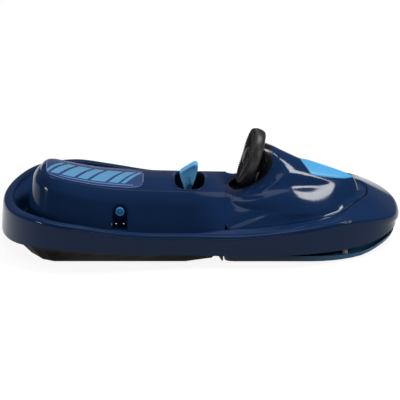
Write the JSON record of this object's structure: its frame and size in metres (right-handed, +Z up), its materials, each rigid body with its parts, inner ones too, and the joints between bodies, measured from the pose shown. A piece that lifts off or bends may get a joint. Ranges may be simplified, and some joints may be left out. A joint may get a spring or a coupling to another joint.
{
  "type": "steering sled",
  "caption": "Child's moulded plastic sled with a seat tub, foot wells, a steering wheel that turns a wide front ski and a hand brake lever that swings two claws down.",
  "frame": {"origin": "on the ground, in the middle of the sled's length and width", "axes": "+X points to the nose, +Y to the rider's left, +Z up from the snow"},
  "size_m": [1.054, 0.5432, 0.2963],
  "materials": {
    "shell_blue": "glossy dark blue moulded plastic",
    "light_blue": "satin light blue moulded plastic",
    "ski_blue": "satin grey-blue moulded plastic",
    "black_plastic": "black moulded plastic",
    "steel": "zinc-plated steel",
    "bush_plastic": "natural bearing plastic"
  },
  "bodies": {
    "body": {"upper_shell": "shell_blue", "base_pan": "black_plastic", "hood": "shell_blue", "hood_insert": "light_blue", "knob_recess_left": "shell_blue", "knob_recess_right": "shell_blue", "lever_housing": "shell_blue", "lever_pin": "steel", "column_bush": "bush_plastic", "column_bracket": "black_plastic", "kingpin_bush_lower": "bush_plastic", "kingpin_bush_upper": "bush_plastic", "pan_screw_1": "steel", "pan_screw_2": "steel", "pan_screw_3": "steel", "pan_screw_4": "steel", "pan_screw_5": "steel", "pan_screw_6": "steel"},
    "steering": {"steering_wheel": "black_plastic", "wheel_cap": "black_plastic", "steering_column": "steel"},
    "front_ski": {"ski": "ski_blue", "ski_tail": "black_plastic", "ski_glide_left": "bush_plastic", "ski_glide_right": "bush_plastic", "kingpin": "steel", "tiller": "steel", "kingpin_nut": "steel"},
    "brake_claws": {"brake_shaft": "steel", "brake_claw_left": "steel", "brake_claw_right": "steel", "side_knob_left": "light_blue", "side_knob_right": "light_blue"},
    "brake_handle": {"brake_lever": "light_blue", "link_pin": "steel"},
    "link": {"brake_link": "steel"}
  },
  "joints": [
    {"name": "ski_steer", "type": "hinge", "parent": "body", "child": "front_ski", "pos_m": [0.29, 0, 0], "axis": [0, 0, 1], "range_deg": [-14, 14]},
    {"name": "wheel_turn", "type": "hinge", "parent": "body", "child": "steering", "pos_m": [0.132, 0, 0.22], "axis": [-0.9511, 0, 0.309], "range_deg": [-35, 35]},
    {"name": "claw_swing", "type": "hinge", "parent": "body", "child": "brake_claws", "pos_m": [-0.215, 0, 0.106], "axis": [0, -1, 0], "range_deg": [0, 13], "stiffness_Nm_per_rad": 2, "springref_deg": -17.19},
    {"name": "lever_pull", "type": "hinge", "parent": "body", "child": "brake_handle", "pos_m": [-0.035, 0, 0.112], "axis": [0, -1, 0], "range_deg": [0, 13]},
    {"name": "link_turn", "type": "hinge", "parent": "brake_handle", "child": "link", "pos_m": [-0.035, 0, 0.08], "axis": [0, -1, 0], "range_deg": [-13, 0]}
  ],
  "couplings": [
    {"joint": "wheel_turn", "follows": "ski_steer", "ratio": 2.5},
    {"joint": "lever_pull", "follows": "claw_swing", "ratio": 1},
    {"joint": "link_turn", "follows": "claw_swing", "ratio": -1}
  ]
}
